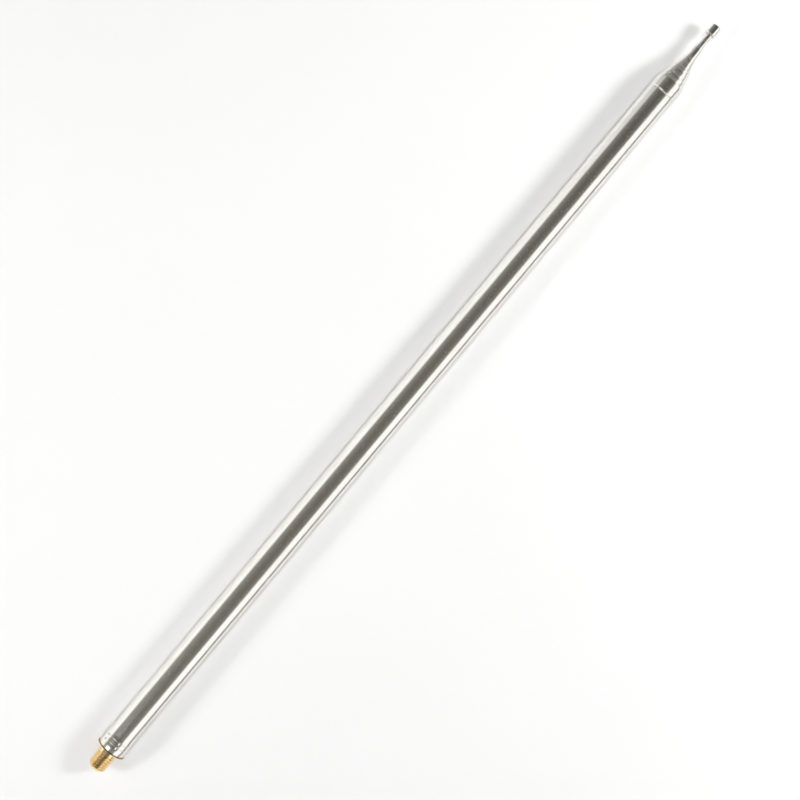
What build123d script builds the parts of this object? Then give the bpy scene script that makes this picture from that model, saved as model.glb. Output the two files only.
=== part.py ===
from build123d import *
from dataclasses import dataclass
from math import sqrt
import os

# Telescopic whip antenna, pushed in all the way, in millimetres.
# The axis is X. The stud points along -X, the tip along +X, and the seat that
# the stud's socket closes against is the plane x = 0.

# ---- driving dimensions -----------------------------------------------------

STUD_DIA = 10.0            # M10 x 1.5 external thread, modelled as a plain stud
STUD_LENGTH = 13.3         # seat to the stud's end
STUD_CHAMFER = 1.9         # 45 degree lead at the stud's end

OUTER_DIA = 16.0           # largest tube
DIA_STEP = 1.8             # how much thinner each next tube is
WALL = 0.4                 # wall of every tube
ROD_DIA = 3.5              # innermost, solid section
TUBES = 7                  # tubes, not counting the rod

OUTER_LENGTH = 461.4       # seat to the outer tube's mouth
MOUTH_STEPS = (3.4, 3.6, 1.8, 3.3, 3.5, 7.6)    # each next mouth stands out by this
ROD_STANDOUT = 7.4         # last mouth to the underside of the cap

LIP_LENGTH = 0.6           # straight part at the very mouth
LIP_WALL = 0.3             # wall there, thinned by the swaging
SWAGE_LENGTH = 2.0         # cone between the full tube and the lip
SLIDE_CLEARANCE = 0.05     # radial gap between a lip and the section inside it

GROOVE_BACK = 9.9          # outer tube's mouth to the middle of its rolled groove
GROOVE_WIDTH = 1.0
GROOVE_DEPTH = 0.2

PLUG_LENGTH = 12.0         # part of the brass plug inside the tube
SWELL_RADIUS = 8.25        # outer tube where it is pressed over the plug
SWELL_LENGTH = 7.8
SWELL_RUNOUT = 1.6
STAKE_PLACES = (4.2, 7.0)  # the two rings of punched dimples
STAKES_PER_RING = 6
STAKE_TURN = 16            # degrees, from straight up to the first dimple, towards -Y
STAKE_RADIUS = 0.85        # punched dimple at the tube's surface
STAKE_TAPER = 40           # degrees, from the punch's axis to its flanks
STAKE_DEPTH = 0.5
PLUG_GROOVE_PLACE = 5.6    # groove in the plug that the dimples sink into
PLUG_GROOVE_WIDTH = 5.2
PLUG_GROOVE_DEPTH = 0.6

FOOT_FLARE = 0.30          # how far a section's inner end is rolled outward
FOOT_LENGTH = 0.8
SPRING_LENGTH = 15.0       # every contact spring is a few bowed leaves
LEAVES = 3
LEAF_SHARE = 0.35          # a leaf's width, as a share of its section's radius
LEAF_THICKNESS = 0.15
LEAF_CREST = 4.0           # straight part in the middle of its bow
LEAF_RUB = 0.02            # gap left between the bow and the bore
COLLAR_LENGTH = 5.0
COLLAR_CLEARANCE = 0.04    # radial gap between a collar and the bore

SPIGOT_RADIUS = 1.25       # rod's turned-down end, pressed into the cap
SPIGOT_LENGTH = 4.0
CAP_RADIUS = 3.0
CAP_TOP_RADIUS = 2.85
CAP_LENGTH = 6.1
CAP_RIM = 0.45             # bevel around the underside
CAP_CORNER = 0.5           # broken edge around the top
CAP_RECESS_RADIUS = 2.3    # recess around the rod
CAP_RECESS_DEPTH = 0.6

# ---- worked out from them ---------------------------------------------------

mouth_places = [OUTER_LENGTH]
for step in MOUTH_STEPS:
    mouth_places.append(mouth_places[-1] + step)
cap_place = mouth_places[-1] + ROD_STANDOUT
cap_top = cap_place + CAP_LENGTH
stock_radii = [(OUTER_DIA - DIA_STEP * n) / 2 for n in range(TUBES)] + [ROD_DIA / 2]

stud_radius = STUD_DIA / 2
plug_radius = SWELL_RADIUS - WALL
swell_end = SWELL_LENGTH + SWELL_RUNOUT
spring_place = PLUG_LENGTH + FOOT_LENGTH
collar_place = spring_place + SPRING_LENGTH
collar_end = collar_place + COLLAR_LENGTH


@dataclass
class Tube:
    """One tube of the antenna: its number from outside in, its radius and its mouth."""

    number: int
    radius: float
    mouth: float

    @property
    def bore(self):
        return self.radius - WALL

    @property
    def swage_start(self):
        return self.mouth - LIP_LENGTH - SWAGE_LENGTH

    def swaged_mouth(self):
        """Outline points round the mouth, from the outside of the tube to its bore."""
        lip_bore = stock_radii[self.number] + SLIDE_CLEARANCE
        lip_start = self.mouth - LIP_LENGTH
        return [
            (self.swage_start, self.radius),
            (lip_start, lip_bore + LIP_WALL),
            (self.mouth, lip_bore + LIP_WALL),
            (self.mouth, lip_bore),
            (lip_start, lip_bore),
            (self.swage_start, self.bore),
        ]


tubes = [Tube(n + 1, stock_radii[n], mouth_places[n]) for n in range(TUBES)]
os.makedirs("parts", exist_ok=True)


def save(part, name):
    """Label a finished sub-part and write it as its own node."""
    part.label = name
    export_step(part, f"parts/{name}.step")


# ---- base stud: plug, shank and stud in one turned brass piece ---------------

with BuildPart() as base_stud:
    with BuildSketch(Plane.XZ):
        with BuildLine():
            Polyline(
                (-STUD_LENGTH, 0),
                (-STUD_LENGTH, stud_radius - STUD_CHAMFER),
                (-STUD_LENGTH + STUD_CHAMFER, stud_radius),
                (0, stud_radius),
                (0, plug_radius),
                (SWELL_LENGTH, plug_radius),
                (swell_end, tubes[0].bore),
                (PLUG_LENGTH, tubes[0].bore),
                (PLUG_LENGTH, 0),
                close=True,
            )
        make_face()
        with Locations((PLUG_GROOVE_PLACE, plug_radius)):
            Rectangle(PLUG_GROOVE_WIDTH, 2 * PLUG_GROOVE_DEPTH, mode=Mode.SUBTRACT)
    revolve(axis=Axis.X)
save(base_stud.part, "base_stud")

# ---- outer tube: swelled and staked over the plug, grooved and swaged --------

outer = tubes[0]
groove_middle = outer.mouth - GROOVE_BACK
groove_start = groove_middle - GROOVE_WIDTH / 2
groove_end = groove_middle + GROOVE_WIDTH / 2
with BuildPart() as outer_tube:
    with BuildSketch(Plane.XZ):
        with BuildLine():
            Polyline(
                (0, SWELL_RADIUS),
                (SWELL_LENGTH, SWELL_RADIUS),
                (swell_end, outer.radius),
                (groove_start, outer.radius),
                (groove_middle, outer.radius - GROOVE_DEPTH),
                (groove_end, outer.radius),
                *outer.swaged_mouth(),
                (groove_end, outer.bore),
                (groove_middle, outer.bore - GROOVE_DEPTH),
                (groove_start, outer.bore),
                (swell_end, outer.bore),
                (SWELL_LENGTH, plug_radius),
                (0, plug_radius),
                close=True,
            )
        make_face()
    revolve(axis=Axis.X)
    for place in STAKE_PLACES:
        for turn in range(STAKES_PER_RING):
            angle = STAKE_TURN + 360 * turn / STAKES_PER_RING
            around = Plane.XY.rotated((angle, 0, 0)).move(Location((place, 0, 0)))
            for surface, mode in ((plug_radius, Mode.ADD), (SWELL_RADIUS, Mode.SUBTRACT)):
                with BuildSketch(around.offset(surface)):
                    RegularPolygon(STAKE_RADIUS, 6)
                extrude(amount=-STAKE_DEPTH, taper=STAKE_TAPER, mode=mode)
save(outer_tube.part, "outer_tube")

# ---- sliding tubes, each with a rolled foot and a swaged mouth ----------------

for tube in tubes[1:]:
    with BuildPart() as sliding_tube:
        with BuildSketch(Plane.XZ):
            with BuildLine():
                Polyline(
                    (PLUG_LENGTH, tube.radius + FOOT_FLARE),
                    (spring_place, tube.radius),
                    *tube.swaged_mouth(),
                    (spring_place, tube.bore),
                    (PLUG_LENGTH, tube.bore + FOOT_FLARE),
                    close=True,
                )
            make_face()
        revolve(axis=Axis.X)
    save(sliding_tube.part, f"tube_{tube.number}")

# ---- tip rod and the cap on its turned-down end --------------------------------

rod_radius = stock_radii[-1]
shoulder = cap_place + CAP_RECESS_DEPTH
spigot_end = cap_place + SPIGOT_LENGTH
with BuildPart() as tip_rod:
    with BuildSketch(Plane.XZ):
        with BuildLine():
            Polyline(
                (PLUG_LENGTH, 0),
                (PLUG_LENGTH, rod_radius + FOOT_FLARE),
                (spring_place, rod_radius),
                (shoulder, rod_radius),
                (shoulder, SPIGOT_RADIUS),
                (spigot_end, SPIGOT_RADIUS),
                (spigot_end, 0),
                close=True,
            )
        make_face()
    revolve(axis=Axis.X)
save(tip_rod.part, "tip_rod")

with BuildPart() as tip_cap:
    with BuildSketch(Plane.XZ):
        with BuildLine():
            Polyline(
                (cap_place, CAP_RECESS_RADIUS),
                (cap_place, CAP_RADIUS - CAP_RIM),
                (cap_place + CAP_RIM, CAP_RADIUS),
                (cap_top - CAP_CORNER, CAP_TOP_RADIUS),
                (cap_top, CAP_TOP_RADIUS - CAP_CORNER),
                (cap_top, 0),
                (spigot_end, 0),
                (spigot_end, SPIGOT_RADIUS),
                (shoulder, SPIGOT_RADIUS),
                (shoulder, CAP_RECESS_RADIUS),
                close=True,
            )
        make_face()
    revolve(axis=Axis.X)
save(tip_cap.part, "tip_cap")

# ---- a stop collar and a contact spring near the foot of every sliding section --

for number in range(2, TUBES + 2):
    own_radius = stock_radii[number - 1]
    bore = tubes[number - 2].bore

    with BuildPart() as stop_collar:
        with BuildSketch(Plane.XZ):
            with BuildLine():
                Polyline(
                    (collar_place, own_radius),
                    (collar_place, bore - COLLAR_CLEARANCE),
                    (collar_end, bore - COLLAR_CLEARANCE),
                    (collar_end, own_radius),
                    close=True,
                )
            make_face()
        revolve(axis=Axis.X)
    save(stop_collar.part, f"stop_collar_{number}")

    half_width = LEAF_SHARE * own_radius / 2
    crest = sqrt((bore - LEAF_RUB) ** 2 - half_width**2) - LEAF_THICKNESS
    middle = (spring_place + collar_place) / 2
    leaf_under = [
        (spring_place, own_radius),
        (middle - LEAF_CREST / 2, crest),
        (middle + LEAF_CREST / 2, crest),
        (collar_place, own_radius),
    ]
    leaf_top = [(place, height + LEAF_THICKNESS) for place, height in reversed(leaf_under)]
    with BuildPart() as contact_spring:
        for leaf in range(LEAVES):
            with BuildSketch(Plane.XZ.rotated((360 * leaf / LEAVES, 0, 0))):
                with BuildLine():
                    Polyline(*leaf_under, *leaf_top, close=True)
                make_face()
            extrude(amount=half_width, both=True)
    save(contact_spring.part, f"contact_spring_{number}")

# ---- how far each section slides ------------------------------------------------

for tube in tubes:
    stop_face = groove_start if tube is outer else tube.swage_start
    print(f"section {tube.number + 1} slides {stop_face - collar_end:.1f} mm")
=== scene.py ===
"""Looks of a telescopic whip antenna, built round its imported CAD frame.

Outlines are in millimetres along the antenna's axis X and become metres when a mesh is made.
"""

import logging
from collections.abc import Callable
from dataclasses import dataclass
from enum import Enum
from math import atan2, ceil, cos, degrees, hypot, pi, radians, sin, tan

import bmesh
import bpy
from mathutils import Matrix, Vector


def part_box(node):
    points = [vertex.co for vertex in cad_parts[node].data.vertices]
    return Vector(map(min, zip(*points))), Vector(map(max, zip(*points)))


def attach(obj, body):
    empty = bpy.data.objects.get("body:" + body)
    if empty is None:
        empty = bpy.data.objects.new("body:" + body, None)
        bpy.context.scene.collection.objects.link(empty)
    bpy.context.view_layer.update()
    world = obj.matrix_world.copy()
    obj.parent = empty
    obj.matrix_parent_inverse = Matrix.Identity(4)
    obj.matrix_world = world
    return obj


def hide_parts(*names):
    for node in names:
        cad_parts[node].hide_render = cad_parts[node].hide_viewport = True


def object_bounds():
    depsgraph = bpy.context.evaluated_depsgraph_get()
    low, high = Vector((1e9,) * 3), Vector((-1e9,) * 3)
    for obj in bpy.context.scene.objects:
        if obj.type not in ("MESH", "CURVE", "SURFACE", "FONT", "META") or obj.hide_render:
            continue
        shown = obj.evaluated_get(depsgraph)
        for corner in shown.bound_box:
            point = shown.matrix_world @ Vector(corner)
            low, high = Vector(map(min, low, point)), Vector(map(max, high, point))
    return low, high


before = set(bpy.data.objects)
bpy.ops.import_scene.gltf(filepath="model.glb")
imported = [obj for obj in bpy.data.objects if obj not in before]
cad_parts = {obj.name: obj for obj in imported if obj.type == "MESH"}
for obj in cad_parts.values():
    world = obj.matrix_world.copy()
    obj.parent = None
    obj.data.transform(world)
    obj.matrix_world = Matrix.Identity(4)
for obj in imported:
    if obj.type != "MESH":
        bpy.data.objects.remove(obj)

MM = 0.001
CAD_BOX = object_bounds()

# The colour sockets of a Mix node: two inputs and the result.
MIX_FIRST = 6
MIX_SECOND = 7
MIX_RESULT = 2

# Where the noise of a grain lies on average.
GRAIN_MIDDLE = 0.5

Span = tuple[float, float]
Triple = tuple[float, float, float]
Colour = tuple[float, float, float]
Outline = list[tuple[float, float]]
Relief = Callable[[float, float, float], float]
Ring = list[bmesh.types.BMVert]

log = logging.getLogger("antenna")


class Slot(Enum):
    """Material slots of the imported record."""

    STEEL = "polished_steel"
    BRASS = "turned_brass"
    BRONZE = "spring_bronze"
    PLATING = "plated_cap"


# ---- shader boards ---------------------------------------------------------------


class Signal:
    """One output socket, on which plain arithmetic adds Math nodes."""

    def __init__(self, board: "NodeBoard", socket: bpy.types.NodeSocket) -> None:
        """Keep the board that the socket's node stands on."""
        self.board = board
        self.socket = socket

    def _math(self, operation: str, first: "Signal | float", second: "Signal | float") -> "Signal":
        """Add one Math node.

        Args:
            operation: the Math node's operation.
            first: left operand.
            second: right operand.

        Returns:
            The node's value.
        """
        return self.board.add("ShaderNodeMath", {"operation": operation}, {0: first, 1: second})

    def __add__(self, other: "Signal | float") -> "Signal":
        """Sum."""
        return self._math("ADD", self, other)

    def __radd__(self, other: float) -> "Signal":
        """Sum with a number on the left."""
        return self._math("ADD", other, self)

    def __sub__(self, other: "Signal | float") -> "Signal":
        """Difference."""
        return self._math("SUBTRACT", self, other)

    def __rsub__(self, other: float) -> "Signal":
        """Difference from a number on the left."""
        return self._math("SUBTRACT", other, self)

    def __mul__(self, other: "Signal | float") -> "Signal":
        """Product."""
        return self._math("MULTIPLY", self, other)

    def __rmul__(self, other: float) -> "Signal":
        """Product with a number on the left."""
        return self._math("MULTIPLY", other, self)


class NodeBoard:
    """The node tree of one material or world, filled node by node."""

    def __init__(self, owner: bpy.types.Material | bpy.types.World) -> None:
        """Take the owner's tree and empty it.

        Args:
            owner: the material or world to fill.
        """
        owner.use_nodes = True
        self.owner = owner
        self.tree = owner.node_tree
        self.tree.nodes.clear()

    @classmethod
    def named(cls, name: str) -> "NodeBoard":
        """Board of a new material of that name."""
        return cls(bpy.data.materials.new(name))

    def add(
        self,
        kind: str,
        settings: dict[str, object] | None = None,
        sockets: dict[int | str, object] | None = None,
        output: int | str | None = 0,
    ) -> Signal | None:
        """Add a node.

        Args:
            kind: the node's type name.
            settings: its properties, set before its sockets.
            sockets: values or Signals for its input sockets, by name or number.
            output: the output socket to hand back, None for a node without one.

        Returns:
            That output as a Signal, or None.
        """
        node = self.tree.nodes.new(kind)
        for key, value in (settings or {}).items():
            setattr(node, key, value)
        for key, value in (sockets or {}).items():
            if isinstance(value, Signal):
                self.tree.links.new(value.socket, node.inputs[key])
            else:
                node.inputs[key].default_value = value
        return None if output is None else Signal(self, node.outputs[output])

    def coordinate(self, axis: str, space: str = "Object") -> Signal:
        """One coordinate of the surface, or of the direction seen in a world's Generated space."""
        place = self.add("ShaderNodeTexCoord", output=space)
        return self.add("ShaderNodeSeparateXYZ", None, {"Vector": place}, axis)

    def grain(self, stretch: Triple, detail: float) -> Signal:
        """Noise whose grain is drawn out differently along each axis.

        Args:
            stretch: noise cells per metre along X, Y and Z.
            detail: octaves of the noise.

        Returns:
            A value of about 0 to 1.
        """
        place = self.add("ShaderNodeTexCoord", output="Object")
        scaled = self.add("ShaderNodeVectorMath", {"operation": "MULTIPLY"}, {0: place, 1: stretch})
        return self.add("ShaderNodeTexNoise", None, {"Vector": scaled, "Scale": 1.0, "Detail": detail})

    def between(self, value: Signal, low: float, high: float) -> Signal:
        """Map a value to 0 at low and 1 at high, smoothly and clamped.

        Args:
            value: the value to map.
            low: where the result is 0.
            high: where the result is 1.

        Returns:
            The mapped value.
        """
        limits = {"Value": value, "From Min": low, "From Max": high}
        return self.add("ShaderNodeMapRange", {"interpolation_type": "SMOOTHSTEP"}, limits)

    def blend(self, share: Signal, first: Colour | Signal, second: Colour) -> Signal:
        """Mix two colours.

        Args:
            share: 0 for the first, 1 for the second.
            first: first colour.
            second: second colour.

        Returns:
            The mixed colour.
        """
        start = first if isinstance(first, Signal) else (*first, 1.0)
        sockets = {"Factor": share, MIX_FIRST: start, MIX_SECOND: (*second, 1.0)}
        return self.add("ShaderNodeMix", {"data_type": "RGBA"}, sockets, MIX_RESULT)

    def metal(
        self, colour: Signal, edge: Colour, roughness: Signal, height: Signal, relief: float
    ) -> bpy.types.Material:
        """Close the board with a metal surface.

        Args:
            colour: base colour over the surface.
            edge: tint of the mirrored light at a glancing angle.
            roughness: roughness over the surface.
            height: surface height from 0 to 1.
            relief: real height of 1, in metres.

        Returns:
            The finished material.
        """
        bump = {"Strength": 1.0, "Distance": relief, "Height": height}
        sockets = {
            "Base Color": colour,
            "Roughness": roughness,
            "Metallic": 1.0,
            "Normal": self.add("ShaderNodeBump", None, bump),
            "Specular Tint": (*edge, 1.0),
        }
        return self.close(self.add("ShaderNodeBsdfPrincipled", None, sockets))

    def close(self, surface: Signal) -> bpy.types.Material | bpy.types.World:
        """Wire the surface to the owner's output node.

        Args:
            surface: the shader to show.

        Returns:
            The finished material or world.
        """
        kind = "World" if isinstance(self.owner, bpy.types.World) else "Material"
        self.add(f"ShaderNodeOutput{kind}", None, {"Surface": surface}, None)
        return self.owner


# ---- finishes ----------------------------------------------------------------------


@dataclass(frozen=True)
class PolishedSteel:
    """Drawn steel tube, buffed lengthwise: faint die lines along X and a few handling marks."""

    colour: Colour = (0.93, 0.918, 0.872)
    dull_colour: Colour = (0.87, 0.850, 0.795)
    edge: Colour = (0.60, 0.60, 0.59)
    roughness: float = 0.20
    relief: float = 0.0000012
    line_grain: Triple = (14.0, 2600.0, 2600.0)
    cloud_grain: Triple = (60.0, 160.0, 160.0)
    speck_grain: Triple = (1500.0, 1900.0, 1900.0)
    speck_limits: Span = (0.69, 0.76)
    dull_limits: Span = (0.35, 0.75)
    cloud_dulling: float = 0.6
    line_dulling: float = 0.4
    line_roughness: float = 0.07
    cloud_roughness: float = 0.10
    speck_roughness: float = 0.10
    cloud_height: float = 0.4
    speck_height: float = 0.5

    def material(self) -> bpy.types.Material:
        """Build the material.

        Returns:
            The finished material.
        """
        board = NodeBoard.named("polished_steel")
        lines = board.grain(self.line_grain, 3.0)
        cloud = board.grain(self.cloud_grain, 4.0)
        specks = board.between(board.grain(self.speck_grain, 1.0), *self.speck_limits)
        dull = board.between(cloud * self.cloud_dulling + lines * self.line_dulling, *self.dull_limits)
        colour = board.blend(dull, self.colour, self.dull_colour)
        roughness = self.roughness + (lines - GRAIN_MIDDLE) * self.line_roughness
        roughness = roughness + (cloud - GRAIN_MIDDLE) * self.cloud_roughness + specks * self.speck_roughness
        height = lines + cloud * self.cloud_height + specks * self.speck_height
        return board.metal(colour, self.edge, roughness, height, self.relief)


@dataclass(frozen=True)
class TurnedBrass:
    """Brass straight off the lathe: fine rings round X, a warm tarnish in places, and painted shade on the
    flange.

    The flange's painted shade is a dark brown that stands for the brass in shade under the tube's rim; it
    starts and ends at places along X, in metres.
    """

    colour: Colour = (0.95, 0.77, 0.46)
    tarnish: Colour = (0.80, 0.56, 0.26)
    # painted shade: the dark brown that stands for the brass in shade under the tube's rim
    painted_flange_shade: Colour = (0.48, 0.31, 0.16)
    edge: Colour = (0.95, 0.85, 0.65)
    roughness: float = 0.20
    relief: float = 0.000003
    ring_grain: Triple = (9000.0, 60.0, 60.0)
    cloud_grain: Triple = (260.0, 260.0, 260.0)
    tarnish_limits: Span = (0.45, 0.85)
    # where along X the painted shade on the flange starts and ends
    painted_shade_start: Span = (-0.0001, 0.0)
    painted_shade_end: Span = (0.0006, 0.0010)
    ring_roughness: float = 0.12
    cloud_roughness: float = 0.16

    def material(self) -> bpy.types.Material:
        """Build the material.

        Returns:
            The finished material.
        """
        board = NodeBoard.named("turned_brass")
        rings = board.grain(self.ring_grain, 2.0)
        cloud = board.grain(self.cloud_grain, 4.0)
        along = board.coordinate("X")
        # painted shade: the flange and the plug's face turn dark brown, standing for the shade under the
        # tube's rim
        flange = board.between(along, *self.painted_shade_start) * (1 - board.between(along, *self.painted_shade_end))
        turned = board.blend(board.between(cloud, *self.tarnish_limits), self.colour, self.tarnish)
        colour = board.blend(flange, turned, self.painted_flange_shade)
        roughness = self.roughness + (rings - GRAIN_MIDDLE) * self.ring_roughness
        roughness = roughness + (cloud - GRAIN_MIDDLE) * self.cloud_roughness
        return board.metal(colour, self.edge, roughness, rings, self.relief)


@dataclass(frozen=True)
class SpringBronze:
    """Rolled phosphor bronze strip: a redder metal with fine rolling lines along X."""

    colour: Colour = (0.78, 0.45, 0.24)
    worn: Colour = (0.90, 0.62, 0.40)
    edge: Colour = (0.9, 0.8, 0.7)
    roughness: float = 0.30
    relief: float = 0.000002
    line_grain: Triple = (40.0, 5200.0, 5200.0)
    rub_grain: Triple = (300.0, 500.0, 500.0)
    rub_limits: Span = (0.48, 0.62)
    line_roughness: float = 0.15
    rub_polish: float = 0.08

    def material(self) -> bpy.types.Material:
        """Build the material.

        Returns:
            The finished material.
        """
        board = NodeBoard.named("spring_bronze")
        lines = board.grain(self.line_grain, 2.0)
        rubbed = board.between(board.grain(self.rub_grain, 3.0), *self.rub_limits)
        colour = board.blend(rubbed, self.colour, self.worn)
        roughness = self.roughness + (lines - GRAIN_MIDDLE) * self.line_roughness - rubbed * self.rub_polish
        return board.metal(colour, self.edge, roughness, lines, self.relief)


@dataclass(frozen=True)
class BrightPlating:
    """Bright nickel plating over a turned cap: faint rings under a mirror surface."""

    colour: Colour = (0.90, 0.89, 0.86)
    clouded: Colour = (0.80, 0.79, 0.76)
    edge: Colour = (0.75, 0.75, 0.75)
    roughness: float = 0.12
    relief: float = 0.0000008
    ring_grain: Triple = (7000.0, 90.0, 90.0)
    cloud_grain: Triple = (420.0, 420.0, 420.0)
    cloud_limits: Span = (0.45, 0.8)
    ring_roughness: float = 0.05
    cloud_roughness: float = 0.10
    cloud_height: float = 0.5

    def material(self) -> bpy.types.Material:
        """Build the material.

        Returns:
            The finished material.
        """
        board = NodeBoard.named("bright_plating")
        rings = board.grain(self.ring_grain, 2.0)
        cloud = board.grain(self.cloud_grain, 4.0)
        colour = board.blend(board.between(cloud, *self.cloud_limits), self.colour, self.clouded)
        roughness = self.roughness + (rings - GRAIN_MIDDLE) * self.ring_roughness
        roughness = roughness + (cloud - GRAIN_MIDDLE) * self.cloud_roughness
        height = rings + cloud * self.cloud_height
        return board.metal(colour, self.edge, roughness, height, self.relief)


@dataclass(frozen=True)
class PaleSweep:
    """Matt white studio sweep."""

    colour: Colour = (0.90, 0.905, 0.91)
    shaded: Colour = (0.88, 0.885, 0.895)
    roughness: float = 0.9
    specular: float = 0.2
    cloud_grain: Triple = (3.0, 3.0, 3.0)
    cloud_limits: Span = (0.3, 0.7)

    def material(self) -> bpy.types.Material:
        """Build the material.

        Returns:
            The finished material.
        """
        board = NodeBoard.named("pale_sweep")
        cloud = board.grain(self.cloud_grain, 2.0)
        colour = board.blend(board.between(cloud, *self.cloud_limits), self.colour, self.shaded)
        sockets = {"Base Color": colour, "Roughness": self.roughness, "Specular IOR Level": self.specular}
        return board.close(board.add("ShaderNodeBsdfPrincipled", None, sockets))


@dataclass(frozen=True)
class Glow:
    """Lit cloth of a reflector or the backdrop, even or dying away between two places along X."""

    name: str
    colour: Colour = (1.0, 1.0, 1.0)
    strength: float = 1.0
    fade: Span | None = None

    def material(self) -> bpy.types.Material:
        """Build the material.

        Returns:
            The finished material.
        """
        board = NodeBoard.named(self.name)
        colour = (*self.colour, 1.0)
        if self.fade:
            faded = board.between(board.coordinate("X"), *self.fade)
            colour = board.blend(faded, self.colour, (0.0, 0.0, 0.0))
        sockets = {"Color": colour, "Strength": self.strength}
        return board.close(board.add("ShaderNodeEmission", None, sockets))


@dataclass(frozen=True)
class Room:
    """Unlit room round the table: warm and dark overhead, darker past the tip, paler towards the horizon."""

    overhead: Colour = (0.150, 0.139, 0.122)
    past_tip: Colour = (0.02, 0.018, 0.015)
    horizon: Colour = (0.50, 0.49, 0.47)
    past_tip_limits: Span = (0.05, 0.55)

    def world(self) -> bpy.types.World:
        """Build the world.

        Returns:
            The finished world.
        """
        board = NodeBoard(bpy.data.worlds.new("room"))
        along = board.coordinate("X", "Generated")
        height = board.coordinate("Z", "Generated")
        top = board.blend(board.between(along, *self.past_tip_limits), self.overhead, self.past_tip)
        colour = board.blend(1 - height, top, self.horizon)
        return board.close(board.add("ShaderNodeBackground", None, {"Color": colour, "Strength": 1.0}))


# ---- turned meshes -----------------------------------------------------------------


@dataclass
class Corner:
    """One corner of an outline, in millimetres, with the radius that it is rounded to."""

    x: float
    r: float
    radius: float = 0.0


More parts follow.
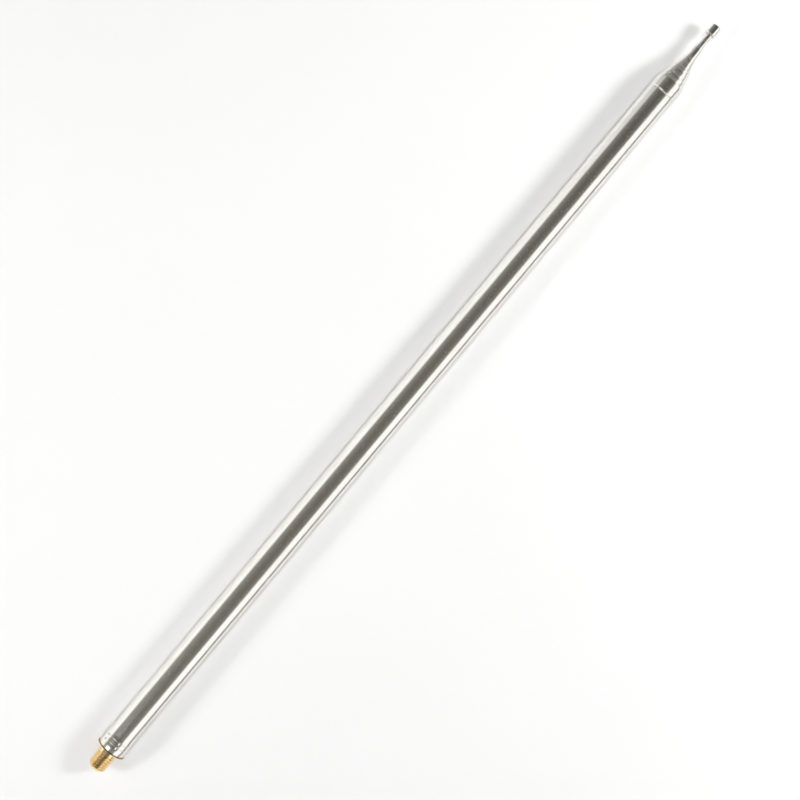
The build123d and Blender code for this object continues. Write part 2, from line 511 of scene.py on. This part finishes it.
@dataclass
class Turning:
    """A body turned about X, from a closed outline or from one that starts and ends on the axis.

    Arcs and the limit of smooth shading are in degrees, the support points' distance in millimetres.
    """

    name: str
    segments: int = 160
    arc_step: float = 12.0
    support: float = 0.12
    reach_share: float = 0.45
    support_share: float = 0.48
    sharp_angle: float = 38.0

    def soften(self, corners: list[Corner]) -> Outline:
        """Round the corners of a closed outline and add support points beside them.

        Args:
            corners: the outline's corners in order.

        Returns:
            The points of the rounded outline.
        """
        points: Outline = []
        for index, corner in enumerate(corners):
            before = corners[index - 1]
            after = corners[(index + 1) % len(corners)]
            points.extend(self._round(before, corner, after))
        return points

    def _round(self, before: Corner, corner: Corner, after: Corner) -> Outline:
        """Points of one rounded corner.

        Args:
            before: the corner before it.
            corner: the corner to round.
            after: the corner after it.

        Returns:
            Its points, from the side before to the side after.
        """
        if corner.radius <= 0:
            return [(corner.x, corner.r)]
        back = Vector((before.x - corner.x, before.r - corner.r))
        ahead = Vector((after.x - corner.x, after.r - corner.r))
        shorter = min(back.length, ahead.length)
        turn = pi - back.angle(ahead)
        reach = min(corner.radius * tan(turn / 2), self.reach_share * shorter)
        radius = reach / tan(turn / 2)
        here = Vector((corner.x, corner.r))
        start = here + back.normalized() * reach
        end = here + ahead.normalized() * reach
        middle = here + (back.normalized() + ahead.normalized()).normalized() * hypot(reach, radius)
        first = atan2(start.y - middle.y, start.x - middle.x)
        sweep = atan2(end.y - middle.y, end.x - middle.x) - first
        sweep = (sweep + pi) % (2 * pi) - pi
        steps = max(2, ceil(abs(degrees(sweep)) / self.arc_step))
        angles = [first + sweep * n / steps for n in range(steps + 1)]
        arc = [(middle.x + radius * cos(angle), middle.y + radius * sin(angle)) for angle in angles]
        lead = here + back.normalized() * min(reach + self.support, self.support_share * back.length)
        tail = here + ahead.normalized() * min(reach + self.support, self.support_share * ahead.length)
        return [tuple(lead), *arc, tuple(tail)]

    def divide(self, points: Outline, low: float, high: float, step: float) -> Outline:
        """Add points to the stretches of a closed outline that lie between two places on the axis.

        Args:
            points: the outline.
            low: where the dense stretch starts.
            high: where it ends.
            step: greatest distance between its points.

        Returns:
            The outline with the added points.
        """
        dense: Outline = []
        for (x, r), (next_x, next_r) in zip(points, points[1:] + points[:1]):
            dense.append((x, r))
            start, end = sorted((x, next_x))
            if end <= low or start >= high or end - start < step or r + next_r == 0:
                continue
            cuts = ceil((end - start) / step)
            shares = [n / cuts for n in range(1, cuts)]
            inner = [(x + (next_x - x) * share, r + (next_r - r) * share) for share in shares]
            dense.extend(point for point in inner if low < point[0] < high)
        return dense

    def build(self, outline: Outline, closed: bool, relief: Relief | None = None) -> bpy.types.Object:
        """Turn an outline into a mesh object.

        Args:
            outline: (x, radius) points in millimetres.
            closed: True if the last point joins the first, False if both ends lie on the axis.
            relief: radial change in millimetres at (x, radius, angle).

        Returns:
            The object, smooth shaded, in the scene.
        """
        mesh = bmesh.new()
        rings = [self._ring(mesh, x, r, relief) for x, r in outline]
        pairs = list(zip(rings, rings[1:]))
        if closed:
            pairs.append((rings[-1], rings[0]))
        for one, other in pairs:
            self._join(mesh, one, other)
        bmesh.ops.recalc_face_normals(mesh, faces=mesh.faces)
        data = bpy.data.meshes.new(self.name)
        mesh.to_mesh(data)
        mesh.free()
        data.shade_smooth()
        data.set_sharp_from_angle(angle=radians(self.sharp_angle))
        piece = bpy.data.objects.new(self.name, data)
        bpy.context.scene.collection.objects.link(piece)
        return piece

    def _ring(self, mesh: bmesh.types.BMesh, x: float, r: float, relief: Relief | None) -> Ring:
        """One ring of vertices, or a single one on the axis.

        Args:
            mesh: the mesh being built.
            x: place along the axis.
            r: radius.
            relief: radial change at (x, radius, angle).

        Returns:
            The ring's vertices. Angle 0 is straight up, and grows towards -Y.
        """
        if r <= 0:
            return [mesh.verts.new((x * MM, 0, 0))]
        ring = []
        for n in range(self.segments):
            angle = 2 * pi * n / self.segments
            height = r + (relief(x, r, angle) if relief else 0)
            ring.append(mesh.verts.new((x * MM, -height * sin(angle) * MM, height * cos(angle) * MM)))
        return ring

    def _join(self, mesh: bmesh.types.BMesh, one: Ring, other: Ring) -> None:
        """Fill between two neighbouring rings.

        Args:
            mesh: the mesh being built.
            one: first ring.
            other: second ring.
        """
        for n in range(self.segments):
            after = (n + 1) % self.segments
            if len(one) == 1:
                mesh.faces.new((one[0], other[n], other[after]))
            elif len(other) == 1:
                mesh.faces.new((one[n], one[after], other[0]))
            else:
                mesh.faces.new((one[n], one[after], other[after], other[n]))


def dress(piece: bpy.types.Object, material: bpy.types.Material) -> None:
    """Give a piece its material.

    Args:
        piece: the piece to dress.
        material: its material.
    """
    piece.data.materials.clear()
    piece.data.materials.append(material)


# ---- the antenna's own parts ---------------------------------------------------------


@dataclass
class TubeStock:
    """What all the drawn tubes share, in millimetres."""

    wall: float = 0.4
    lip_length: float = 0.6
    lip_wall: float = 0.3
    swage_length: float = 2.0
    slide_clearance: float = 0.05
    foot_flare: float = 0.30
    foot_length: float = 0.8
    lip_round: float = 0.12
    lip_root_round: float = 0.35
    swage_round: float = 0.6
    foot_round: float = 0.8

    def mouth(self, radius: float, mouth: float, inner_radius: float) -> list[Corner]:
        """Corners round a swaged mouth, from the outside of the tube to its bore.

        Args:
            radius: the tube's radius.
            mouth: place of the mouth along the axis.
            inner_radius: radius of the section that slides in it.

        Returns:
            The corners in order.
        """
        lip_bore = inner_radius + self.slide_clearance
        lip_start = mouth - self.lip_length
        swage_start = lip_start - self.swage_length
        return [
            Corner(swage_start, radius, self.swage_round),
            Corner(lip_start, lip_bore + self.lip_wall, self.lip_root_round),
            Corner(mouth, lip_bore + self.lip_wall, self.lip_round),
            Corner(mouth, lip_bore, self.lip_round),
            Corner(lip_start, lip_bore, self.lip_root_round),
            Corner(swage_start, radius - self.wall, self.swage_round),
        ]


STOCK = TubeStock()
STOCK_RADIUS = 8.0
FIRST_SLIDING = 2
ROD = 8


def section_radius(number: int) -> float:
    """Radius of a sliding section in millimetres, from the box of its node."""
    node = f"tube_{number}" if number < ROD else "tip_rod"
    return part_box(node)[1].z / MM - STOCK.foot_flare


@dataclass
class OuterTube:
    """The largest tube: swelled and staked over the plug, grooved and swaged at its mouth."""

    radius: float = STOCK_RADIUS
    swell_length: float = 7.8
    swell_runout: float = 1.6
    swell_round: float = 1.5
    rim_place: float = 0.4
    rim_taper: float = 0.28
    rim_taper_length: float = 2.2
    rim_taper_round: float = 0.6
    rim_round: float = 0.05
    rim_bore_round: float = 0.1
    groove_back: float = 9.9
    groove_width: float = 1.0
    groove_depth: float = 0.3
    groove_floor: float = 0.12
    groove_edge_round: float = 0.3
    groove_floor_round: float = 0.2
    stake_places: tuple[float, ...] = (4.2, 7.0)
    stakes_per_ring: int = 6
    stake_turn: float = 16.0
    stake_radius: float = 0.95
    stake_depth: float = 0.42
    stake_sharpness: float = 1.3
    crimp_width: float = 0.50
    crimp_depth: float = 0.16
    relief_step: float = 0.11
    segments: int = 288

    def relief(self, x: float, r: float, angle: float) -> float:
        """How far the punched dimples and crimp lines sink below the swell.

        Args:
            x: place along the axis, in millimetres.
            r: radius of the surface there.
            angle: angle from straight up towards -Y, in radians.

        Returns:
            The radial change in millimetres.
        """
        sunk = 0.0
        for place in self.stake_places:
            crimp = max(0.0, 1 - ((x - place) / self.crimp_width) ** 2)
            sunk = max(sunk, self.crimp_depth * crimp * crimp)
            if abs(x - place) > self.stake_radius:
                continue
            for turn in range(self.stakes_per_ring):
                centre = radians(self.stake_turn + 360 * turn / self.stakes_per_ring)
                around = (angle - centre + pi) % (2 * pi) - pi
                away = hypot(x - place, around * r) / self.stake_radius
                if away < 1:
                    sunk = max(sunk, self.stake_depth * (1 - away * away) ** self.stake_sharpness)
        return -sunk

    def build(self, finish: bpy.types.Material) -> bpy.types.Object:
        """Make the tube and put it on its body.

        Args:
            finish: its material.

        Returns:
            The piece.
        """
        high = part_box("outer_tube")[1]
        swell, mouth = high.z / MM, high.x / MM
        bore = self.radius - STOCK.wall
        groove = mouth - self.groove_back
        half = self.groove_width / 2
        flat = self.groove_floor / 2
        floor = self.radius - self.groove_depth
        swell_end = self.swell_length + self.swell_runout
        corners = [
            Corner(self.rim_place, swell - self.rim_taper, self.rim_round),
            Corner(self.rim_place + self.rim_taper_length, swell, self.rim_taper_round),
            Corner(self.swell_length, swell, self.swell_round),
            Corner(swell_end, self.radius, self.swell_round),
            Corner(groove - half, self.radius, self.groove_edge_round),
            Corner(groove - flat, floor, self.groove_floor_round),
            Corner(groove + flat, floor, self.groove_floor_round),
            Corner(groove + half, self.radius, self.groove_edge_round),
            *STOCK.mouth(self.radius, mouth, section_radius(FIRST_SLIDING)),
            Corner(groove + half, bore),
            Corner(groove, bore - self.groove_depth),
            Corner(groove - half, bore),
            Corner(swell_end, bore),
            Corner(self.swell_length, swell - STOCK.wall),
            Corner(self.rim_place, swell - STOCK.wall, self.rim_bore_round),
        ]
        turning = Turning("outer_tube_shell", self.segments)
        first = self.stake_places[0] - self.stake_radius
        last = self.stake_places[-1] + self.stake_radius
        outline = turning.divide(turning.soften(corners), first, last, self.relief_step)
        piece = turning.build(outline, True, self.relief)
        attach(piece, "outer_tube_body")
        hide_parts("outer_tube")
        dress(piece, finish)
        return piece


@dataclass
class SlidingTube:
    """One of the thinner tubes, with a rolled foot and a swaged mouth."""

    number: int
    foot_edge_round: float = 0.06

    def build(self, finish: bpy.types.Material) -> bpy.types.Object:
        """Make the tube and put it on its body.

        Args:
            finish: its material.

        Returns:
            The piece.
        """
        node = f"tube_{self.number}"
        low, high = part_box(node)
        foot, mouth = low.x / MM, high.x / MM
        radius = section_radius(self.number)
        bore = radius - STOCK.wall
        corners = [
            Corner(foot, radius + STOCK.foot_flare, self.foot_edge_round),
            Corner(foot + STOCK.foot_length, radius, STOCK.foot_round),
            *STOCK.mouth(radius, mouth, section_radius(self.number + 1)),
            Corner(foot + STOCK.foot_length, bore, STOCK.foot_round),
            Corner(foot, bore + STOCK.foot_flare, self.foot_edge_round),
        ]
        turning = Turning(f"sliding_tube_{self.number}")
        piece = turning.build(turning.soften(corners), True)
        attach(piece, f"section_{self.number}_body")
        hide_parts(node)
        dress(piece, finish)
        return piece


@dataclass
class TipRod:
    """The innermost section, a solid rod with a rolled foot and a turned-down end in the cap."""

    spigot_radius: float = 1.25
    spigot_length: float = 3.4
    foot_edge_round: float = 0.08
    shoulder_round: float = 0.15
    spigot_root_round: float = 0.05
    spigot_end_round: float = 0.1
    segments: int = 96

    def build(self, finish: bpy.types.Material) -> bpy.types.Object:
        """Make the rod and put it on its body.

        Args:
            finish: its material.

        Returns:
            The piece.
        """
        low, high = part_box("tip_rod")
        foot, end = low.x / MM, high.x / MM
        radius = section_radius(ROD)
        shoulder = end - self.spigot_length
        corners = [
            Corner(foot, 0),
            Corner(foot, radius + STOCK.foot_flare, self.foot_edge_round),
            Corner(foot + STOCK.foot_length, radius, STOCK.foot_round),
            Corner(shoulder, radius, self.shoulder_round),
            Corner(shoulder, self.spigot_radius, self.spigot_root_round),
            Corner(end, self.spigot_radius, self.spigot_end_round),
            Corner(end, 0),
        ]
        turning = Turning("whip_rod", self.segments)
        piece = turning.build(turning.soften(corners), False)
        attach(piece, "section_8_body")
        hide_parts("tip_rod")
        dress(piece, finish)
        return piece


@dataclass
class TipCap:
    """The small turned and plated cap, pressed on the rod's end."""

    recess_radius: float = 2.3
    recess_depth: float = 0.6
    spigot_radius: float = 1.25
    spigot_length: float = 4.0
    rim: float = 0.45
    top_taper: float = 0.15
    top_corner: float = 0.5
    recess_root_round: float = 0.12
    under_round: float = 0.10
    rim_round: float = 0.20
    top_round: float = 0.35
    segments: int = 128
    support: float = 0.06

    def build(self, finish: bpy.types.Material) -> bpy.types.Object:
        """Make the cap and put it on its body.

        Args:
            finish: its material.

        Returns:
            The piece.
        """
        low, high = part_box("tip_cap")
        under, top, radius = low.x / MM, high.x / MM, high.z / MM
        shoulder = under + self.recess_depth
        spigot_end = under + self.spigot_length
        top_radius = radius - self.top_taper
        corners = [
            Corner(spigot_end, 0),
            Corner(spigot_end, self.spigot_radius),
            Corner(shoulder, self.spigot_radius),
            Corner(shoulder, self.recess_radius, self.recess_root_round),
            Corner(under, self.recess_radius, self.under_round),
            Corner(under, radius - self.rim, self.under_round),
            Corner(under + self.rim, radius, self.rim_round),
            Corner(top - self.top_corner, top_radius, self.top_round),
            Corner(top, top_radius - self.top_corner, self.top_round),
            Corner(top, 0),
        ]
        turning = Turning("cap", self.segments, support=self.support)
        piece = turning.build(turning.soften(corners), False)
        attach(piece, "section_8_body")
        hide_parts("tip_cap")
        dress(piece, finish)
        return piece


@dataclass
class ThreadedStud:
    """The brass plug with its flange, and the shank with a rolled M10 thread of 1.5 mm pitch."""

    stud_radius: float = 5.0
    pitch: float = 1.5
    thread_depth: float = 0.92
    shank: float = 3.0
    runout: float = 1.3
    chamfer: float = 1.9
    crest_share: float = 0.28
    root_share: float = 0.16
    steps_per_pitch: int = 22
    shank_round: float = 0.10
    flange: float = 0.25
    flange_length: float = 0.38
    flange_round: float = 0.08
    groove: Span = (3.0, 8.2)
    groove_depth: float = 0.6
    segments: int = 144

    def relief(self, x: float, r: float, angle: float) -> float:
        """How far the thread's flanks sink below the shank, right-handed about X.

        Args:
            x: place along the axis, in millimetres.
            r: radius of the plain shank or chamfer there.
            angle: angle from straight up towards -Y, in radians.

        Returns:
            The radial change in millimetres.
        """
        if x > -self.shank:
            return 0.0
        turns = x / self.pitch - angle / (2 * pi)
        away = abs(turns - round(turns))
        flank = (1 - self.crest_share - self.root_share) / 2
        sunk = min(1.0, max(0.0, (away - self.crest_share / 2) / flank))
        grown = min(1.0, (-self.shank - x) / self.runout)
        thread = self.stud_radius - self.thread_depth * sunk * grown
        return min(0.0, thread - r)

    def build(self, finish: bpy.types.Material) -> bpy.types.Object:
        """Make the stud and put it on its body.

        Args:
            finish: its material.

        Returns:
            The piece.
        """
        low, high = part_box("base_stud")
        end, plug_end = low.x / MM, high.x / MM
        plug_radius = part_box("outer_tube")[1].z / MM - STOCK.wall
        flange_radius = plug_radius + STOCK.wall + self.flange
        groove_radius = plug_radius - self.groove_depth
        bore = STOCK_RADIUS - STOCK.wall
        groove_start, groove_end = self.groove
        corners = [
            Corner(end, 0),
            Corner(end, self.stud_radius - self.chamfer),
            Corner(end + self.chamfer, self.stud_radius),
            Corner(0, self.stud_radius, self.shank_round),
            Corner(0, flange_radius, self.flange_round),
            Corner(self.flange_length, flange_radius, self.flange_round),
            Corner(self.flange_length, plug_radius),
            Corner(groove_start, plug_radius),
            Corner(groove_start, groove_radius),
            Corner(groove_end, groove_radius),
            Corner(groove_end, bore),
            Corner(plug_end, bore),
            Corner(plug_end, 0),
        ]
        turning = Turning("threaded_stud", self.segments)
        step = self.pitch / self.steps_per_pitch
        outline = turning.divide(turning.soften(corners), end, -self.shank, step)
        piece = turning.build(outline, False, self.relief)
        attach(piece, "outer_tube_body")
        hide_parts("base_stud")
        dress(piece, finish)
        return piece


@dataclass
class FootParts:
    """The stop collar and contact spring near the foot of one section, as CAD made them."""

    number: int

    def dress(self, brass: bpy.types.Material, bronze: bpy.types.Material) -> None:
        """Give both their finishes.

        Args:
            brass: finish of the collar.
            bronze: finish of the spring's leaves.
        """
        finishes = {f"stop_collar_{self.number}": brass, f"contact_spring_{self.number}": bronze}
        for node, finish in finishes.items():
            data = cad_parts[node].data
            data.materials.clear()
            data.materials.append(finish)


# ---- studio ----------------------------------------------------------------------------


@dataclass(frozen=True)
class Lamp:
    """A square studio light that the metal doesn't mirror, in metres and watts."""

    name: str
    place: Vector
    aim: Vector
    size: float
    power: float

    def build(self) -> None:
        """Add the light, facing its aim."""
        data = bpy.data.lights.new(self.name, "AREA")
        data.shape = "SQUARE"
        data.size = self.size
        data.energy = self.power
        light = bpy.data.objects.new(self.name, data)
        light.location = self.place
        light.rotation_euler = (self.aim - self.place).to_track_quat("-Z", "Y").to_euler()
        light.visible_camera = False
        light.visible_glossy = False
        bpy.context.scene.collection.objects.link(light)


@dataclass(frozen=True)
class Reflector:
    """A sheet beside the antenna, from its start to its end along X, in metres.

    Its upper and lower edges stand at angles from straight up towards +Y, in degrees, given at both ends.
    """

    name: str
    upper: Span
    lower: Span
    distance: float
    start: float
    end: float
    strength: float
    fade: Span | None = None

    def corners(self) -> list[Triple]:
        """Work out the sheet's outline.

        Returns:
            Its four corners in order.
        """
        return [
            self.corner(self.start, self.upper[0]),
            self.corner(self.end, self.upper[1]),
            self.corner(self.end, self.lower[1]),
            self.corner(self.start, self.lower[0]),
        ]

    def corner(self, x: float, angle: float) -> Triple:
        """The corner at a place along X and an angle from straight up."""
        return x, self.distance * sin(radians(angle)), self.distance * cos(radians(angle))


@dataclass
class Studio:
    """White sweep, reflectors, lights, room, backdrop and the camera straight above.

    Sizes are in metres, angles in degrees, and the lens and sensor in millimetres. The lamps' places are
    measured from the end of the antenna that each aims at.
    """

    backdrop_size: float = 12.0
    backdrop_colour: Colour = (0.93, 0.94, 0.95)
    end_sheet_away: float = 1.0
    end_sheet_half: float = 0.4
    end_sheet_top: float = 0.6
    end_sheet_strength: float = 1.8
    lamp_size: float = 0.27
    key_place: Triple = (0.35, -0.65, 0.606)
    key_power: float = 6.2
    second_place: Triple = (-0.35, 0.65, 0.606)
    second_power: float = 3.5
    ceiling_strength: float = 1.30
    ceiling_spread: float = 20.0
    camera_height: float = 0.7235
    camera_back: float = 0.0032
    camera_aside: float = 0.00146
    camera_turn: float = -50.0
    lens: float = 61.6
    sensor: float = 36.0
    near_clip: float = 0.01

    @property
    def floor(self) -> float:
        """Height of the surface that the antenna lies on."""
        return CAD_BOX[0].z

    @property
    def ends(self) -> Span:
        """Where the antenna starts and ends along X."""
        return CAD_BOX[0].x, CAD_BOX[1].x

    def build(self) -> None:
        """Set up everything round the antenna."""
        self.add_sweep()
        self.add_backdrop()
        for sheet in self.reflectors():
            self.add_card(sheet.name, sheet.corners(), sheet.strength, sheet.fade)
        self.add_end_sheet()
        self.add_lamps()
        self.add_ceiling()
        self.add_camera()
        bpy.context.scene.world = Room().world()
        bpy.context.scene.view_settings.view_transform = "Standard"

    def add_sheet(self, name: str, corners: list[Triple], finish: PaleSweep | Glow) -> bpy.types.Object:
        """Add one flat sheet of the studio.

        Args:
            name: its name.
            corners: its corners in order.
            finish: its finish.

        Returns:
            The sheet.
        """
        data = bpy.data.meshes.new(name)
        data.from_pydata(corners, [], [tuple(range(len(corners)))])
        data.materials.append(finish.material())
        sheet = bpy.data.objects.new(name, data)
        bpy.context.scene.collection.objects.link(sheet)
        return sheet

    def posts(self) -> list[Span]:
        """The four corners of the sweep, seen from above."""
        size = self.backdrop_size
        return [(-size, -size), (size, -size), (size, size), (-size, size)]

    def add_sweep(self) -> None:
        """Lay the white sweep under the antenna."""
        self.add_sheet("sweep", [(*post, self.floor) for post in self.posts()], PaleSweep())

    def add_backdrop(self) -> None:
        """Stand a pale backdrop far away on all sides, seen by the camera alone."""
        size = self.backdrop_size
        posts = self.posts()
        for n, (start, end) in enumerate(zip(posts, posts[1:] + posts[:1])):
            corners = [(*start, -size), (*end, -size), (*end, size), (*start, size)]
            sheet = self.add_sheet(f"backdrop_{n}", corners, Glow("backdrop_cloth", self.backdrop_colour))
            sheet.visible_glossy = False
            sheet.visible_diffuse = False
            sheet.visible_shadow = False

    def reflectors(self) -> list[Reflector]:
        """Set out the sheets that give the metal its bright bands, and the dark bar between two of them.

        Returns:
            The sheets in order.
        """
        base, tip = self.ends
        return [
            Reflector(
                "left_sheet",
                upper=(70, 48),
                lower=(90, 90),
                distance=1.0,
                start=tip - 1.6,
                end=tip + 0.7,
                strength=1.06,
                fade=(tip, tip + 0.55),
            ),
            Reflector(
                "right_sheet",
                upper=(-40, -40),
                lower=(-80, -88),
                distance=0.95,
                start=tip - 1.7,
                end=tip + 3.6,
                strength=1.10,
            ),
            Reflector(
                "dark_bar",
                upper=(-82.5, -82.5),
                lower=(-95.2, -95.2),
                distance=0.0906,
                start=tip - 1.7,
                end=tip + 1.1,
                strength=0.22,
            ),
            Reflector(
                "stud_sheet",
                upper=(8, 8),
                lower=(40, 40),
                distance=0.9,
                start=base - 0.64,
                end=base - 0.37,
                strength=2.2,
            ),
        ]

    def add_end_sheet(self) -> None:
        """Stand one sheet upright past the tip, facing it."""
        x = self.ends[1] + self.end_sheet_away
        half, top = self.end_sheet_half, self.end_sheet_top
        corners = [(x, -half, self.floor), (x, half, self.floor), (x, half, top), (x, -half, top)]
        self.add_card("end_sheet", corners, self.end_sheet_strength)

    def add_card(self, name: str, corners: list[Triple], strength: float, fade: Span | None = None) -> None:
        """Add one sheet that only the metal sees.

        Args:
            name: its name.
            corners: its corners in order.
            strength: how bright it is.
            fade: where it starts and ends to die away along X.
        """
        card = self.add_sheet(name, corners, Glow(name, strength=strength, fade=fade))
        card.visible_camera = False
        card.visible_shadow = False
        card.visible_diffuse = False

    def add_lamps(self) -> None:
        """Add the two lamps that cast the soft shadows, one to each side."""
        base, tip = (Vector((end, 0.0, 0.0)) for end in self.ends)
        Lamp("key", tip + Vector(self.key_place), tip, self.lamp_size, self.key_power).build()
        Lamp("second", base + Vector(self.second_place), base, self.lamp_size, self.second_power).build()

    def add_ceiling(self) -> None:
        """Add the even light from above, which the metal doesn't mirror."""
        data = bpy.data.lights.new("ceiling", "SUN")
        data.energy = self.ceiling_strength
        data.angle = radians(self.ceiling_spread)
        ceiling = bpy.data.objects.new("ceiling", data)
        ceiling.visible_glossy = False
        bpy.context.scene.collection.objects.link(ceiling)

    def add_camera(self) -> None:
        """Add the camera, looking straight down."""
        data = bpy.data.cameras.new("camera")
        data.lens = self.lens
        data.sensor_width = self.sensor
        data.clip_start = self.near_clip
        camera = bpy.data.objects.new("camera", data)
        base, tip = self.ends
        camera.location = ((base + tip) / 2 - self.camera_back, self.camera_aside, self.camera_height)
        camera.rotation_euler = (0.0, 0.0, radians(self.camera_turn))
        bpy.context.scene.collection.objects.link(camera)
        bpy.context.scene.camera = camera


def report(piece: bpy.types.Object) -> None:
    """Log one finished piece."""
    log.info("%s: %d vertices", piece.name, len(piece.data.vertices))


def main() -> None:
    """Build the antenna from the outside in, then the studio."""
    logging.basicConfig(level=logging.INFO, format="%(name)s: %(message)s")
    steel = PolishedSteel().material()
    brass = TurnedBrass().material()
    bronze = SpringBronze().material()
    plating = BrightPlating().material()
    report(OuterTube().build(steel))
    report(ThreadedStud().build(brass))
    for number in range(FIRST_SLIDING, ROD):
        report(SlidingTube(number).build(steel))
    report(TipRod().build(steel))
    report(TipCap().build(plating))
    for number in range(FIRST_SLIDING, ROD + 1):
        FootParts(number).dress(brass, bronze)
    Studio().build()


if __name__ == "__main__":
    main()
